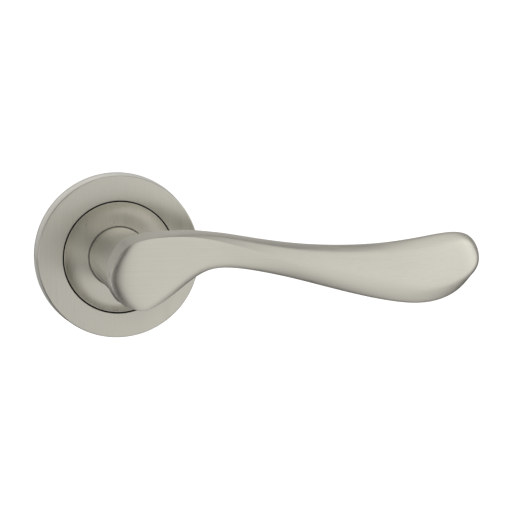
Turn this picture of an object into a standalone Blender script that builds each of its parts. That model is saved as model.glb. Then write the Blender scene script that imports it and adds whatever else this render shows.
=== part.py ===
"""Lever handle on a round sprung rose, with its spindle and door fixings.

Frame: metres, +Z up. The origin is on the spindle's axis at the door's face. The lever reaches along +X,
and -Y points away from the door. "Forward" is the distance in front of the door's face, so y = -forward.
"""

from math import cos, pi, radians, sin

import bmesh
import bpy

MM = 0.001
COLLECTION = "lever_handle_on_rose"

# Rose cover: a domed ring with a dished disc in it
ROSE_RADIUS = 26.0 * MM
ROSE_WALL_TOP_RADIUS = 25.6 * MM
ROSE_WALL_HEIGHT = 6.3 * MM
ROSE_FACE_RADIUS = 25.0 * MM
ROSE_CORNER = ((25.30 * MM, 6.85 * MM), (25.52 * MM, 6.60 * MM))
ROSE_FACE_LOW = 6.95 * MM
ROSE_FACE_HIGH = 7.35 * MM
ROSE_LIP = 0.25 * MM
ROSE_HOLE_RADIUS = 17.85 * MM
ROSE_INNER_RADIUS = 24.75 * MM
ROSE_INNER_HEIGHT = 5.4 * MM
ROSE_UNDER_RADIUS = 24.3 * MM
ROSE_SHEET = 1.0 * MM
DISH_RIM_RADIUS = 17.4 * MM
DISH_RIM_HEIGHT = 7.3 * MM
DISH_RIM_EDGE = 0.25 * MM
DISH_HOLE_RADIUS = 9.65 * MM
DISH_FLOOR = 6.2 * MM
DISH_SHEET = 0.7 * MM
DISH_FLANGE_RADIUS = 19.6 * MM
DISH_FLANGE_TOP = 5.95 * MM
DISH_STEP = (1.2 * MM, 3.0 * MM)  # how far inside the rim the underside climbs from flange to floor

# Lever: round neck, journal with two flats, square socket
NECK_RADIUS = 9.3 * MM
NECK_SHOULDER = 5.4 * MM
NECK_STRAIGHT = 43.6 * MM
NECK_ROOT = 44.6 * MM
NECK_FLARE = 0.3 * MM
JOURNAL_RADIUS = 7.6 * MM
JOURNAL_END = 0.95 * MM
JOURNAL_FLAT = 6.6 * MM
JOURNAL_FLAT_TOP = 3.35 * MM
GROOVE_RADIUS = 6.9 * MM
GROOVE_LOW = 1.2 * MM
GROOVE_HIGH = 2.0 * MM
SOCKET_WIDTH = 8.3 * MM
SOCKET_DEPTH = 33.0 * MM

# Spindle and the screw that clamps it
SPINDLE_WIDTH = 7.9 * MM
SPINDLE_LENGTH = 90.0 * MM
SPINDLE_FRONT = 31.0 * MM
SPINDLE_CHAMFER = 0.8 * MM
GRUB_FORWARD = 15.0 * MM
GRUB_RADIUS = 2.4 * MM
GRUB_HOLE_RADIUS = 2.75 * MM
GRUB_LENGTH = 4.5 * MM
GRUB_KEY_WIDTH = 2.5 * MM

# Mounting plate, with the spring's pocket in its back
PLATE_RADIUS = 23.4 * MM
PLATE_THICKNESS = 2.4 * MM
DRUM_RADIUS = 15.0 * MM
DRUM_TOP = 4.8 * MM
POCKET_RADIUS = 13.4 * MM
POCKET_TOP = 3.4 * MM
COVER_RECESS_RADIUS = 15.2 * MM
COVER_RECESS_DEPTH = 0.85 * MM
BUSH_HOLE_RADIUS = 9.05 * MM
BUSH_SEAT_RADIUS = 10.4 * MM
BUSH_SEAT = 4.3 * MM
FIXING_RADIUS = 19.0 * MM
LUG_RADIUS = 3.75 * MM
LUG_LENGTH = 6.0 * MM

# Bolts, wood screws and the clips for the cover
BOLT_RADIUS = 1.95 * MM
BOLT_HOLE_RADIUS = 2.3 * MM
BOLT_HEAD_RADIUS = 3.4 * MM
BOLT_HEAD_HEIGHT = 2.2 * MM
BOLT_LENGTH = 25.0 * MM
SCREW_HEAD_RADIUS = 3.4 * MM
SCREW_SHANK_RADIUS = 1.6 * MM
SCREW_LENGTH = 18.0 * MM
CLIP_RADIUS = 24.15 * MM
CLIP_SHEET = 0.4 * MM
CLIP_WIDTH = 6.0 * MM
CLIP_FOOT_RADIUS = 19.8 * MM
CLIP_LOW = 0.6 * MM
PIP_RADIUS = 0.9 * MM
PIP_PLACE = 21.6 * MM
GAP = 0.3 * MM

# Spring cassette
ROTOR_LOW = 2.15 * MM
ROTOR_HIGH = 3.2 * MM
ROTOR_RADIUS = 9.0 * MM
ROTOR_ARM_RADIUS = 10.9 * MM
ROTOR_ARM_WIDTH = 3.2 * MM
STOP_WIDTH = 2.4 * MM
STOP_INNER_RADIUS = 9.4 * MM
STOP_CLEARANCE = 0.3 * MM
LEVER_TRAVEL = 50.0
SPRING_WIRE_RADIUS = 0.5 * MM
SPRING_RADIUS = 12.3 * MM
SPRING_LOW = 1.5 * MM
SPRING_HIGH = 2.7 * MM
SPRING_TURNS = 1.15
SPRING_LEG = 2.1 * MM
LEG_GAP = 0.1 * MM
SPRING_POST_RADIUS = 0.7 * MM
SPRING_POST_PLACE = 10.7 * MM
ARM_PIN_RADIUS = 0.6 * MM
ARM_PIN_PLACE = 10.2 * MM
COVER_PIP_PLACE = 14.3 * MM

# The lever's cage, in millimetres. A form is a section's outline as (depth, height) fractions of the
# section's box: the ridge, down the upper side, the back and the underside, and up the front again.
PLACES = 10
(RIDGE, UPPER_FRONT, UPPER_BACK, BACK, LOWER_BACK,
 UNDERSIDE, LOWER_FRONT, FRONT_LOW, FRONT, FRONT_HIGH) = range(PLACES)
END_FORM = ((0.93, 1.01), (0.82, 1.01), (0.00, 1.02), (0.00, 0.48), (0.00, -0.02),
            (0.50, 0.00), (0.90, 0.00), (0.91, 0.20), (0.92, 0.50), (0.93, 0.82))
HEEL_FORM = ((0.99, 1.01), (0.87, 1.015), (0.00, 1.03), (0.00, 0.48), (0.00, 0.00),
             (0.50, 0.02), (0.92, 0.00), (1.03, 0.11), (1.04, 0.50), (1.04, 0.91))
WAIST_FORM = ((1.04, 0.49), (0.86, 0.86), (0.25, 1.04), (0.00, 0.62), (0.05, 0.15),
              (0.33, -0.06), (0.68, 0.00), (0.82, 0.10), (0.93, 0.22), (1.00, 0.35))
BLADE_FORM = ((1.02, 0.23), (0.87, 0.80), (0.34, 1.05), (0.00, 0.62), (0.08, 0.18),
              (0.36, -0.02), (0.66, -0.03), (0.79, 0.02), (0.90, 0.09), (0.97, 0.15))
LEVER_FORMS = (END_FORM, HEEL_FORM, WAIST_FORM, BLADE_FORM)
# along the lever, lowest, highest, back, front, form (0 heel's end, 1 heel, 2 waist, 3 blade)
LEVER_SECTIONS = (
    (-7.4, -7.4, 9.6, 45.6, 56.8, 0.00),
    (-5.4, -7.9, 11.0, 45.4, 56.8, 1.00),
    (0.0, -9.8, 12.6, 45.3, 56.8, 1.00),
    (9.5, -3.4, 13.5, 45.3, 56.8, 1.05),
    (18.5, 4.1, 13.9, 45.5, 56.8, 1.30),
    (31.0, 2.3, 12.0, 45.8, 56.6, 1.68),
    (45.0, -0.9, 9.5, 45.6, 55.6, 2.00),
    (60.0, -5.5, 8.5, 44.8, 54.2, 2.35),
    (75.0, -9.4, 8.8, 43.6, 52.4, 2.75),
    (88.0, -11.2, 10.7, 42.6, 50.6, 3.00),
    (98.0, -8.3, 12.1, 42.2, 49.0, 3.00),
    (102.9, -2.7, 9.5, 42.6, 48.0, 3.00),
)
# how far the middle of an end's section lies beyond its corners, and its front beyond its back
END_SHIFTS = {0: (-4.8, 0.9), 1: (-4.2, 0.8), len(LEVER_SECTIONS) - 1: (3.2, 0.0)}
HEEL_CROWN = -1.2
TIP_CROWN = 1.0
# how crisp each run between sections is, from the heel to the tip (0 smooth, 1 sharp)
RIDGE_CREASE = (0.75, 0.75, 0.75, 0.75, 0.60, 0.45, 0.30, 0.20, 0.20, 0.20, 0.20)
UPPER_CREASE = (0.20, 0.20, 0.20, 0.30, 0.40, 0.40, 0.40, 0.40, 0.40, 0.40, 0.40)
HEEL_CREASE = (0.85, 0.80, 0.75, 0.60, 0.40)
HEEL_BACK_CREASE = (0.45, 0.45, 0.45, 0.35, 0.20)
CAGE_OVER_CIRCLE = (4 + 2 * cos(2 * pi / PLACES)) / 6  # how far a round cage's smooth circle draws in
LEVER_LEVELS = 2

NICKEL = ("satin_nickel", (0.60, 0.57, 0.53), 1.0, 0.34)
ZINC = ("cast_zinc", (0.45, 0.46, 0.47), 1.0, 0.50)
STEEL = ("zinc_plated_steel", (0.62, 0.63, 0.65), 1.0, 0.35)
SPRING_STEEL = ("spring_steel", (0.20, 0.20, 0.22), 1.0, 0.40)
NYLON = ("white_nylon", (0.80, 0.79, 0.74), 0.0, 0.50)


def clear_scene():
    for obj in list(bpy.data.objects):
        bpy.data.objects.remove(obj, do_unlink=True)
    for collection in list(bpy.data.collections):
        bpy.data.collections.remove(collection)


def new_collection(name):
    collection = bpy.data.collections.new(name)
    bpy.context.scene.collection.children.link(collection)
    return collection


def new_object(name, mesh, finish=None):
    """A part where a finish is given, or else a cutter or joining shape."""
    obj = bpy.data.objects.new(name, mesh)
    if finish:
        parts.objects.link(obj)
        mesh.materials.append(finish_material(*finish))
        mesh.shade_smooth()
        mesh.set_sharp_from_angle(angle=radians(35))
    else:
        tools.objects.link(obj)
        obj.hide_render = True
        obj.display_type = "WIRE"
    return obj


def finish_material(name, colour, metallic, roughness):
    material = bpy.data.materials.new(name)
    material.use_nodes = True
    shader = material.node_tree.nodes["Principled BSDF"]
    shader.inputs["Base Color"].default_value = (*colour, 1.0)
    shader.inputs["Metallic"].default_value = metallic
    shader.inputs["Roughness"].default_value = roughness
    return material


def mesh_from(bm, name):
    mesh = bpy.data.meshes.new(name)
    bm.to_mesh(mesh)
    bm.free()
    return mesh


def face_forward(obj, x=0.0, forward=0.0, z=0.0):
    """Turns a shape made along its own +Z to point away from the door."""
    obj.location = (x, -forward, z)
    obj.rotation_euler = (radians(90), 0, 0)
    return obj


def rod(name, radius, low, high, x=0.0, z=0.0, sides=24, finish=None):
    """A cylinder square to the door, from one forward distance to another."""
    bm = bmesh.new()
    bmesh.ops.create_cone(
        bm, cap_ends=True, segments=sides, radius1=radius, radius2=radius, depth=high - low
    )
    obj = new_object(name, mesh_from(bm, name), finish)
    return face_forward(obj, x, (low + high) / 2, z)


def block(name, size, centre, turn=0.0, finish=None):
    """A box by its size along X, forward and Z, turned about the forward axis through the origin."""
    bm = bmesh.new()
    bmesh.ops.create_cube(bm, size=1.0)
    bmesh.ops.scale(bm, vec=size, verts=bm.verts)
    bmesh.ops.translate(bm, vec=(centre[0], -centre[1], centre[2]), verts=bm.verts)
    obj = new_object(name, mesh_from(bm, name), finish)
    obj.rotation_euler = (0, turn, 0)
    return obj


def turned(name, profile, steps=48, closed=True, finish=None):
    """A shape turned about the forward axis. The profile runs down its outer side as (radius, forward)."""
    mesh = bpy.data.meshes.new(name)
    edges = [(i, i + 1) for i in range(len(profile) - 1)]
    if closed:
        edges.append((len(profile) - 1, 0))
    mesh.from_pydata([(radius, 0, forward) for radius, forward in profile], edges, [])
    obj = new_object(name, mesh, finish)
    screw = obj.modifiers.new("turn", "SCREW")
    screw.steps = screw.render_steps = steps
    screw.use_merge_vertices = True
    screw.merge_threshold = 1e-5
    screw.use_smooth_shade = True
    return face_forward(obj)


def combine(obj, other, operation="DIFFERENCE"):
    boolean = obj.modifiers.new(other.name, "BOOLEAN")
    boolean.operation = operation
    boolean.object = other
    boolean.solver = "EXACT"


def curve_mesh(name, curve, finish, place=None):
    """A curve's solid as a mesh object, so that it can be cut."""
    obj = bpy.data.objects.new(name, curve)
    tools.objects.link(obj)
    depsgraph = bpy.context.evaluated_depsgraph_get()
    mesh = bpy.data.meshes.new_from_object(obj.evaluated_get(depsgraph))
    bpy.data.objects.remove(obj)
    bm = bmesh.new()
    bm.from_mesh(mesh)
    bmesh.ops.remove_doubles(bm, verts=bm.verts, dist=1e-6)
    bm.to_mesh(mesh)
    bm.free()
    solid = new_object(name, mesh, finish)
    if place:
        place(solid)
    return solid


def spaced(start, end, count):
    """Evenly spaced numbers, both ends included."""
    return [start + (end - start) * i / (count - 1) for i in range(count)]


# ---- rose cover ----


def rose_face(radius):
    """The ring's domed face: its forward distance at a radius."""
    share = (radius - ROSE_HOLE_RADIUS) / (ROSE_FACE_RADIUS - ROSE_HOLE_RADIUS)
    return ROSE_FACE_HIGH - (ROSE_FACE_HIGH - ROSE_FACE_LOW) * share**2


def make_rose_ring():
    face = spaced(ROSE_HOLE_RADIUS + ROSE_LIP, ROSE_FACE_RADIUS, 6)
    profile = [(ROSE_HOLE_RADIUS, ROSE_FACE_HIGH - ROSE_LIP)] + [(r, rose_face(r)) for r in face]
    profile += ROSE_CORNER
    profile += [(ROSE_WALL_TOP_RADIUS, ROSE_WALL_HEIGHT), (ROSE_RADIUS, 0), (ROSE_INNER_RADIUS, 0)]
    profile += [(ROSE_INNER_RADIUS, ROSE_INNER_HEIGHT)]
    profile += [(r, rose_face(r) - ROSE_SHEET) for r in spaced(ROSE_UNDER_RADIUS, ROSE_HOLE_RADIUS, 4)]
    return turned("rose_ring", profile, finish=NICKEL)


def dish_face(radius):
    """The dish's concave face: nearly flat round the neck, steepest under the rim."""
    share = (radius - DISH_HOLE_RADIUS) / (DISH_RIM_RADIUS - DISH_HOLE_RADIUS)
    return DISH_FLOOR + (DISH_RIM_HEIGHT - DISH_FLOOR) * share**4


def make_rose_dish():
    top = spaced(DISH_HOLE_RADIUS, DISH_RIM_RADIUS - 2.5 * DISH_RIM_EDGE, 9)
    face = [(r, dish_face(r)) for r in top]
    rim = [
        (DISH_RIM_RADIUS - DISH_RIM_EDGE, DISH_RIM_HEIGHT), (DISH_RIM_RADIUS, DISH_RIM_HEIGHT - DISH_RIM_EDGE)
    ]
    flange = [
        (DISH_RIM_RADIUS, DISH_FLANGE_TOP),
        (DISH_FLANGE_RADIUS, DISH_FLANGE_TOP),
        (DISH_FLANGE_RADIUS, DISH_FLANGE_TOP - DISH_SHEET),
        (DISH_RIM_RADIUS - DISH_STEP[0], DISH_FLANGE_TOP - DISH_SHEET),
        (DISH_RIM_RADIUS - DISH_STEP[1], DISH_FLOOR - DISH_SHEET),
        (DISH_HOLE_RADIUS, DISH_FLOOR - DISH_SHEET),
    ]
    return turned("rose_dish", face + rim + flange, finish=NICKEL)


# ---- lever ----


def section_outline(form):
    """The outline at a form between two of the named ones, as (depth, height) fractions."""
    step = min(int(form), len(LEVER_FORMS) - 2)
    share = form - step
    pairs = zip(LEVER_FORMS[step], LEVER_FORMS[step + 1])
    return [(a[0] + (b[0] - a[0]) * share, a[1] + (b[1] - a[1]) * share) for a, b in pairs]


def add_section(bm, section, roundness=0.0, lean=0.0):
    """One ring of the cage. Roundness carries its middle along the lever, and lean its front."""
    along, low, high, back, front, form = section
    ring = []
    for depth, height in section_outline(form):
        x = along + roundness * max(0.0, 1 - (2 * height - 1) ** 2) + lean * depth
        forward = back + depth * (front - back)
        ring.append(bm.verts.new((x * MM, -forward * MM, (low + height * (high - low)) * MM)))
    return ring


def close_end(bm, ring, crown):
    """Faces round a middle point close one end of the cage."""
    middle = (ring[FRONT].co + ring[BACK].co) / 2
    middle.x += crown * MM
    centre = bm.verts.new(middle)
    for corner in range(0, PLACES, 2):
        bm.faces.new((ring[corner - 1], ring[corner], ring[(corner + 1) % PLACES], centre))


def add_neck(bm, rings):
    """The round neck grows out of the heel's back, where the cage was left open."""
    previous = [rings[0][BACK]] + [ring[UPPER_BACK] for ring in rings[:4]]
    previous += [rings[3][BACK]] + [ring[LOWER_BACK] for ring in rings[3::-1]]
    angles = [pi - 2 * pi * i / PLACES for i in range(PLACES)]
    cage_radius = NECK_RADIUS / CAGE_OVER_CIRCLE
    for forward, radius in (
        (NECK_ROOT, cage_radius + NECK_FLARE), (NECK_STRAIGHT, cage_radius), (NECK_SHOULDER, cage_radius)
    ):
        ring = [bm.verts.new((radius * cos(angle), -forward, radius * sin(angle))) for angle in angles]
        for i in range(PLACES):
            j = (i + 1) % PLACES
            bm.faces.new((previous[i], previous[j], ring[j], ring[i]))
        previous = ring
    bm.faces.new(previous)
    return previous


def crease_run(bm, layer, rings, place, amounts):
    for first, second, amount in zip(rings, rings[1:], amounts):
        bm.edges.get((first[place], second[place]))[layer] = amount


def lever_cage():
    bm = bmesh.new()
    crease = bm.edges.layers.float.new("crease_edge")
    rings = [
        add_section(bm, section, *END_SHIFTS.get(i, (0.0, 0.0))) for i, section in enumerate(LEVER_SECTIONS)
    ]
    for number, (first, second) in enumerate(zip(rings, rings[1:])):
        for place in range(PLACES):
            if number < 3 and place in (UPPER_BACK, BACK):
                continue  # left open for the neck
            after = (place + 1) % PLACES
            bm.faces.new((first[place], second[place], second[after], first[after]))
    close_end(bm, rings[0], HEEL_CROWN)
    close_end(bm, rings[-1], TIP_CROWN)
    shoulder = add_neck(bm, rings)
    crease_run(bm, crease, rings, RIDGE, RIDGE_CREASE)
    crease_run(bm, crease, rings, UPPER_FRONT, UPPER_CREASE)
    crease_run(bm, crease, rings, LOWER_FRONT, HEEL_CREASE)
    crease_run(bm, crease, rings, UPPER_BACK, HEEL_BACK_CREASE)
    crease_run(bm, crease, rings, LOWER_BACK, HEEL_BACK_CREASE)
    end = rings[0]
    front_edge = (LOWER_FRONT, FRONT_LOW, FRONT, FRONT_HIGH, RIDGE)
    for first, second in zip(front_edge, front_edge[1:]):
        bm.edges.get((end[first], end[second]))[crease] = HEEL_CREASE[0]
    for first, second in ((UPPER_BACK, BACK), (BACK, LOWER_BACK)):
        bm.edges.get((end[first], end[second]))[crease] = HEEL_BACK_CREASE[0]
    for first, second in zip(shoulder, shoulder[1:] + shoulder[:1]):
        bm.edges.get((first, second))[crease] = 1.0
    bmesh.ops.recalc_face_normals(bm, faces=bm.faces)
    return mesh_from(bm, "lever_handle")


def make_lever_handle():
    lever = new_object("lever_handle", lever_cage(), NICKEL)
    smooth = lever.modifiers.new("smooth", "SUBSURF")
    smooth.levels = smooth.render_levels = LEVER_LEVELS
    journal = turned(
        "lever_journal",
        [
            (0, NECK_SHOULDER + 3 * MM), (JOURNAL_RADIUS, NECK_SHOULDER + 3 * MM),
            (JOURNAL_RADIUS, GROOVE_HIGH), (GROOVE_RADIUS, GROOVE_HIGH),
            (GROOVE_RADIUS, GROOVE_LOW), (JOURNAL_RADIUS, GROOVE_LOW),
            (JOURNAL_RADIUS, JOURNAL_END), (0, JOURNAL_END),
        ],
        steps=32,
        closed=False,
    )
    combine(lever, journal, "UNION")
    flat_size = (4 * JOURNAL_RADIUS, JOURNAL_FLAT_TOP, JOURNAL_RADIUS)
    for side in (1, -1):
        flat = block(
            f"journal_flat_{side}", flat_size,
            (0, JOURNAL_FLAT_TOP / 2, side * (JOURNAL_FLAT + JOURNAL_RADIUS / 2)),
        )
        combine(lever, flat)
    combine(lever, block("spindle_socket", (SOCKET_WIDTH, 2 * SOCKET_DEPTH, SOCKET_WIDTH), (0, 0, 0)))
    hole = rod("grub_hole", GRUB_HOLE_RADIUS, 0, 2 * NECK_RADIUS, sides=20)
    hole.location = (0, -GRUB_FORWARD, -NECK_RADIUS)
    hole.rotation_euler = (0, 0, 0)
    combine(lever, hole)
    return lever


def make_spindle():
    centre = SPINDLE_FRONT - SPINDLE_LENGTH / 2
    spindle = block("spindle", (SPINDLE_WIDTH, SPINDLE_LENGTH, SPINDLE_WIDTH), (0, centre, 0), finish=STEEL)
    bevel = spindle.modifiers.new("chamfer", "BEVEL")
    bevel.width = SPINDLE_CHAMFER
    bevel.segments = 1
    return spindle


def make_grub_screw():
    grub = rod("grub_screw", GRUB_RADIUS, 0, GRUB_LENGTH, sides=20, finish=SPRING_STEEL)
    grub.rotation_euler = (0, 0, 0)
    grub.location = (0, -GRUB_FORWARD, -SPINDLE_WIDTH / 2 - GAP - GRUB_LENGTH / 2)
    key_depth = 2.0 * MM
    key = rod("grub_key", GRUB_KEY_WIDTH / 2 / cos(pi / 6), 0, 2 * key_depth, sides=6)
    key.rotation_euler = (0, 0, 0)
    key.location = (0, -GRUB_FORWARD, -SPINDLE_WIDTH / 2 - GAP - GRUB_LENGTH)
    combine(grub, key)
    return grub


# ---- spring cassette ----


def make_cassette_rotor():
    rotor = rod("cassette_rotor", ROTOR_RADIUS, ROTOR_LOW, ROTOR_HIGH, sides=40, finish=STEEL)
    arm = block(
        "rotor_arm", (ROTOR_ARM_WIDTH, ROTOR_HIGH - ROTOR_LOW, ROTOR_ARM_RADIUS / 2),
        (0, (ROTOR_LOW + ROTOR_HIGH) / 2, ROTOR_ARM_RADIUS * 0.75),
    )
    combine(rotor, arm, "UNION")
    pin_low, pin_high = SPRING_LOW - SPRING_WIRE_RADIUS, ROTOR_HIGH - GAP
    combine(rotor, rod("rotor_pin", ARM_PIN_RADIUS, pin_low, pin_high, z=ARM_PIN_PLACE, sides=12), "UNION")
    clear = 0.2 * MM
    keyway = rod("rotor_keyway", JOURNAL_RADIUS + clear, 0, 2 * ROTOR_HIGH, sides=32)
    flats_size = (4 * JOURNAL_RADIUS, 4 * ROTOR_HIGH, 2 * (JOURNAL_FLAT + clear))
    flats = block("rotor_flats", flats_size, (0, ROTOR_HIGH, 0))
    combine(keyway, flats, "INTERSECT")
    combine(rotor, keyway)
    return rotor


def make_circlip():
    low, high = GROOVE_LOW + 0.08 * MM, GROOVE_HIGH - 0.08 * MM
    inner, outer = GROOVE_RADIUS + 0.12 * MM, 9.3 * MM
    profile = [(outer, high), (outer, low), (inner, low), (inner, high)]
    circlip = turned("circlip", profile, steps=40, finish=SPRING_STEEL)
    mouth = 6.0 * MM
    combine(circlip, block("circlip_mouth", (mouth, 4 * high, 2 * outer), (0, 0, -outer)))
    return circlip


def make_wave_washer():
    low, high, wave = 5.0 * MM, 5.22 * MM, 0.07 * MM
    inner, outer = 7.95 * MM, 9.15 * MM
    profile = [(outer, high), (outer, low), (inner, low), (inner, high)]
    washer = turned("wave_washer", profile, steps=36, finish=SPRING_STEEL)
    depsgraph = bpy.context.evaluated_depsgraph_get()
    mesh = bpy.data.meshes.new_from_object(washer.evaluated_get(depsgraph))
    for vert in mesh.vertices:
        share = vert.co.x / vert.co.xy.length
        vert.co.z += wave * (4 * share**3 - 3 * share)  # three waves round the ring
    washer.modifiers.clear()
    washer.data = mesh
    return washer


def make_bearing_bush():
    inner, sleeve, flange = 7.85 * MM, 8.8 * MM, 10.1 * MM
    low, seat, top = POCKET_TOP + 0.1 * MM, BUSH_SEAT + 0.1 * MM, DRUM_TOP
    profile = [(flange, top), (flange, seat), (sleeve, seat), (sleeve, low), (inner, low), (inner, top)]
    return turned("bearing_bush", profile, steps=40, finish=NYLON)


def spring_angles():
    """The fixed leg's angle and the moving leg's, from +X towards +Z. The coil runs the short way down."""
    moving = radians(90) + (ARM_PIN_RADIUS + SPRING_WIRE_RADIUS + LEG_GAP) / ARM_PIN_PLACE
    return moving + 2 * pi * SPRING_TURNS, moving


def make_return_spring():
    """A torsion spring: a fixed leg against the plate's post, the coil, and a leg behind the rotor's pin."""
    fixed, moving = spring_angles()
    steps = round(SPRING_TURNS * 24)
    curve = bpy.data.curves.new("return_spring", "CURVE")
    curve.dimensions = "3D"
    curve.bevel_depth = SPRING_WIRE_RADIUS
    curve.bevel_resolution = 2
    curve.use_fill_caps = True
    leg_end = SPRING_RADIUS - SPRING_LEG
    points = [(leg_end * cos(fixed), leg_end * sin(fixed), SPRING_HIGH)]
    for i in range(steps + 1):
        angle = fixed + (moving - fixed) * i / steps
        forward = SPRING_HIGH + (SPRING_LOW - SPRING_HIGH) * i / steps
        points.append((SPRING_RADIUS * cos(angle), SPRING_RADIUS * sin(angle), forward))
    points.append((leg_end * cos(moving), leg_end * sin(moving), SPRING_LOW))
    spline = curve.splines.new("POLY")
    spline.points.add(len(points) - 1)
    for point, place in zip(spline.points, points):
        point.co = (*place, 1)
    return curve_mesh("return_spring", curve, SPRING_STEEL, face_forward)


def make_cassette_cover():
    low, high = 0.1 * MM, COVER_RECESS_DEPTH - 0.15 * MM
    outer, inner = COVER_RECESS_RADIUS - GAP, 6.2 * MM
    profile = [(outer, high), (outer, low), (inner, low), (inner, high)]
    cover = turned("cassette_cover", profile, steps=40, finish=STEEL)
    for number, (x, z) in enumerate(cover_pips()):
        combine(cover, rod(f"cover_hole_{number}", 0.85 * MM, -high, 2 * high, x, z, sides=12))
    return cover


def cover_pips():
    angles = [radians(a) for a in (30, 150, 270)]
    return [(COVER_PIP_PLACE * cos(a), COVER_PIP_PLACE * sin(a)) for a in angles]


# ---- mounting plate and fixings ----


def stop_turns():
    """Turns of the two stops about the forward axis, measured from straight up."""
    half_arm = (ROTOR_ARM_WIDTH + STOP_WIDTH) / 2 + STOP_CLEARANCE
    swing = half_arm / ((STOP_INNER_RADIUS + ROTOR_ARM_RADIUS) / 2)
    return -swing, radians(LEVER_TRAVEL) + swing


def clip_angles():
    return [radians(a) for a in (45, 135, 225, 315)]


def make_mounting_plate():
    plate = turned(
        "mounting_plate",
        [
            (BUSH_SEAT_RADIUS, DRUM_TOP), (DRUM_RADIUS, DRUM_TOP), (DRUM_RADIUS, PLATE_THICKNESS),
            (PLATE_RADIUS, PLATE_THICKNESS), (PLATE_RADIUS, 0), (COVER_RECESS_RADIUS, 0),
            (COVER_RECESS_RADIUS, COVER_RECESS_DEPTH), (POCKET_RADIUS, COVER_RECESS_DEPTH),
            (POCKET_RADIUS, POCKET_TOP), (BUSH_HOLE_RADIUS, POCKET_TOP),
            (BUSH_HOLE_RADIUS, BUSH_SEAT), (BUSH_SEAT_RADIUS, BUSH_SEAT),
        ],
        finish=ZINC,
    )
    for side in (-1, 1):
        x = side * FIXING_RADIUS
        combine(plate, rod(f"bolt_lug_{side}", LUG_RADIUS, -LUG_LENGTH, PLATE_THICKNESS / 2, x), "UNION")
        combine(plate, rod(f"bolt_hole_{side}", BOLT_HOLE_RADIUS, -2 * LUG_LENGTH, 2 * PLATE_THICKNESS, x))
        countersink = wood_screw_profile(0.45 * MM, 1.0 * MM)
        hole = turned(f"screw_hole_{side}", countersink, closed=False, steps=24)
        combine(plate, face_forward(hole, z=side * FIXING_RADIUS))
    into_pocket = POCKET_TOP + 0.3 * MM
    depth = into_pocket - ROTOR_LOW
    middle = ROTOR_LOW + depth / 2
    for number, turn in enumerate(stop_turns()):
        size = (STOP_WIDTH, depth, ROTOR_ARM_RADIUS - STOP_INNER_RADIUS)
        place = (0, middle, (ROTOR_ARM_RADIUS + STOP_INNER_RADIUS) / 2)
        combine(plate, block(f"stop_{number}", size, place, turn), "UNION")
    fixed_leg = spring_angles()[0]
    turn = fixed_leg - (SPRING_POST_RADIUS + SPRING_WIRE_RADIUS + LEG_GAP) / SPRING_POST_PLACE
    x, z = SPRING_POST_PLACE * cos(turn), SPRING_POST_PLACE * sin(turn)
    combine(plate, rod("spring_post", SPRING_POST_RADIUS, ROTOR_LOW, into_pocket, x, z, sides=12), "UNION")
    for number, angle in enumerate(clip_angles()):
        pip = rod(
            f"clip_pip_{number}", PIP_RADIUS, PLATE_THICKNESS / 2, PLATE_THICKNESS + 2 * CLIP_SHEET + GAP,
            PIP_PLACE * cos(angle), PIP_PLACE * sin(angle), sides=12,
        )
        combine(plate, pip, "UNION")
    for number, (x, z) in enumerate(cover_pips()):
        pip = rod(f"cover_pip_{number}", 0.55 * MM, 0.1 * MM, 1.5 * MM, x, z, sides=12)
        combine(plate, pip, "UNION")
    return plate


def wood_screw_profile(clear=0.0, above=0.0):
    """A countersunk screw from its head to its tip, or with some clearance the hole that it sits in."""
    head_top = PLATE_THICKNESS - 0.1 * MM
    head, shank = SCREW_HEAD_RADIUS + clear, SCREW_SHANK_RADIUS + clear
    neck = head_top - (head - shank)
    length = 2 * PLATE_THICKNESS if clear else SCREW_LENGTH
    tip = [(shank, head_top - length), (0, head_top - length)]
    if not clear:
        tip = [(shank, head_top - length + 4 * MM), (0, head_top - length)]
    head_side = [(0, head_top + above), (head, head_top + above), (head, head_top - 0.1 * MM)]
    return head_side + [(shank, neck)] + tip


def cross_slot(name, x, forward, z, length, width, depth):
    """A cross recess cutter, centred on a screw head's face."""
    slot = block(f"{name}_slot", (length, 2 * depth, width), (x, forward, z))
    across = block(f"{name}_cross", (width, 2 * depth, length), (x, forward, z))
    combine(slot, across, "UNION")
    return slot


def make_through_bolt(number, side):
    under_head = PLATE_THICKNESS + GAP
    top = under_head + BOLT_HEAD_HEIGHT
    edge = 0.5 * MM
    name = f"through_bolt_{number}"
    bolt = turned(
        name,
        [
            (0, top), (BOLT_HEAD_RADIUS - 1.5 * edge, top), (BOLT_HEAD_RADIUS, top - 2 * edge),
            (BOLT_HEAD_RADIUS, under_head), (BOLT_RADIUS, under_head),
            (BOLT_RADIUS, under_head - BOLT_LENGTH + edge), (BOLT_RADIUS - edge, under_head - BOLT_LENGTH),
            (0, under_head - BOLT_LENGTH),
        ],
        steps=24,
        closed=False,
        finish=STEEL,
    )
    face_forward(bolt, x=side * FIXING_RADIUS)
    combine(bolt, cross_slot(name, side * FIXING_RADIUS, top, 0, 3.6 * MM, 0.8 * MM, 1.2 * MM))
    return bolt


def make_wood_screw(number, side):
    name = f"wood_screw_{number}"
    screw = turned(name, wood_screw_profile(), steps=24, closed=False, finish=STEEL)
    face_forward(screw, z=side * FIXING_RADIUS)
    top = PLATE_THICKNESS - 0.1 * MM
    combine(screw, cross_slot(name, 0, top, side * FIXING_RADIUS, 3.4 * MM, 0.8 * MM, 1.2 * MM))
    return screw


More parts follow.
